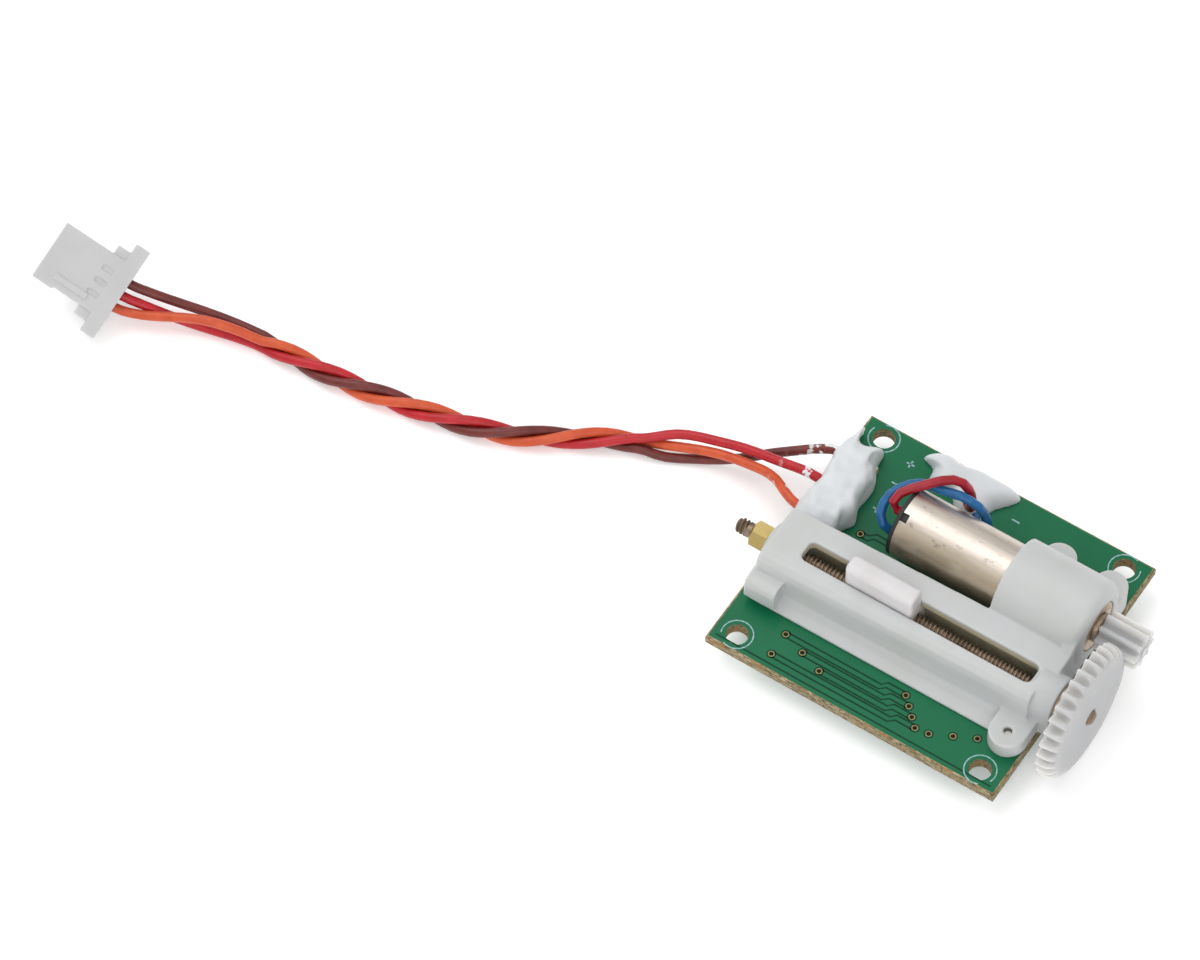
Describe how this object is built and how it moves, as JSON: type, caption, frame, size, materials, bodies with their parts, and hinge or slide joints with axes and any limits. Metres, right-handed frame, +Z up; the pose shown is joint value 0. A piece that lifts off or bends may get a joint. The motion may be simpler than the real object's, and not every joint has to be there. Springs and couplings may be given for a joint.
{
  "type": "micro linear servo",
  "caption": "Micro linear servo: a geared motor turns a lead screw that slides an output block along a slotted rail, on a circuit board with a three-wire lead and plug.",
  "frame": {"origin": "middle of the four board holes, on the board's underside", "axes": "+X along the lead screw from its nut to its gear, +Y from the lead screw towards the motor, +Z up from the board"},
  "size_m": [0.067, 0.0195, 0.0082],
  "materials": {
    "board_laminate": "solder-masked fibreglass",
    "carbon_film": "printed carbon",
    "white_moulding": "slightly translucent moulding",
    "spring_metal": "bright sprung leaf",
    "bronze_screw": "dark bronze thread",
    "brass": "turned brass",
    "plated_steel": "nickel-plated, drawn",
    "black_moulding": "black moulding",
    "sintered_bronze": "sintered",
    "magnet_metal": "ground magnet",
    "copper": "copper",
    "steel_shaft": "ground steel",
    "wire_brown": "insulation",
    "wire_red": "insulation",
    "wire_orange": "insulation",
    "wire_blue": "insulation",
    "clear_white_glue": "cured adhesive",
    "chip_epoxy": "moulded epoxy",
    "tinned_metal": "tinned",
    "ceramic_tan": "ceramic",
    "ceramic_black": "ceramic",
    "solder": "solder",
    "screw_steel": "blackened steel"
  },
  "bodies": {
    "board": {"circuit_board": "board_laminate", "resistive_track": "carbon_film", "servo_frame": "white_moulding", "lead_screw_bush": "brass", "motor_can": "plated_steel", "motor_end_cap": "black_moulding", "motor_front_bush": "sintered_bronze", "motor_rear_bush": "sintered_bronze", "motor_magnet": "magnet_metal", "motor_brushes": "spring_metal", "motor_wire_blue": "wire_blue", "motor_wire_red": "wire_red", "lead_wire_brown": "wire_brown", "lead_wire_red": "wire_red", "lead_wire_orange": "wire_orange", "plug_housing": "white_moulding", "plug_terminals": "tinned_metal", "cable_glue": "clear_white_glue", "motor_wire_glue": "clear_white_glue", "controller_chip": "chip_epoxy", "controller_legs": "tinned_metal", "motor_driver_chip": "chip_epoxy", "motor_driver_legs": "tinned_metal", "board_capacitors": "ceramic_tan", "board_resistors": "ceramic_black", "solder_joints": "solder", "frame_screws": "screw_steel"},
    "screw": {"lead_screw": "bronze_screw", "retaining_nut": "brass", "thrust_collar": "brass", "screw_gear": "white_moulding"},
    "rotor": {"motor_shaft": "steel_shaft", "motor_coil": "copper", "motor_hub": "black_moulding", "motor_commutator": "copper", "motor_pinion": "white_moulding"},
    "carriage": {"slider": "white_moulding", "wiper_contact": "spring_metal"}
  },
  "joints": [
    {"name": "slider_slide", "type": "slide", "parent": "board", "child": "carriage", "axis": [1, 0, 0], "range_m": [-0.00266, 0.0074]},
    {"name": "lead_screw_spin", "type": "hinge", "parent": "board", "child": "screw", "pos_m": [0, -0.0026, 0.00274], "axis": [-1, 0, 0], "range_deg": [-3840.4, 10666]},
    {"name": "motor_spin", "type": "hinge", "parent": "board", "child": "rotor", "pos_m": [0, 0.00223, 0.00342], "axis": [-1, 0, 0], "range_deg": [-41302, 14852.8]}
  ],
  "couplings": [
    {"joint": "lead_screw_spin", "follows": "slider_slide", "rad_per_m": 25133},
    {"joint": "motor_spin", "follows": "slider_slide", "rad_per_m": -97389}
  ]
}
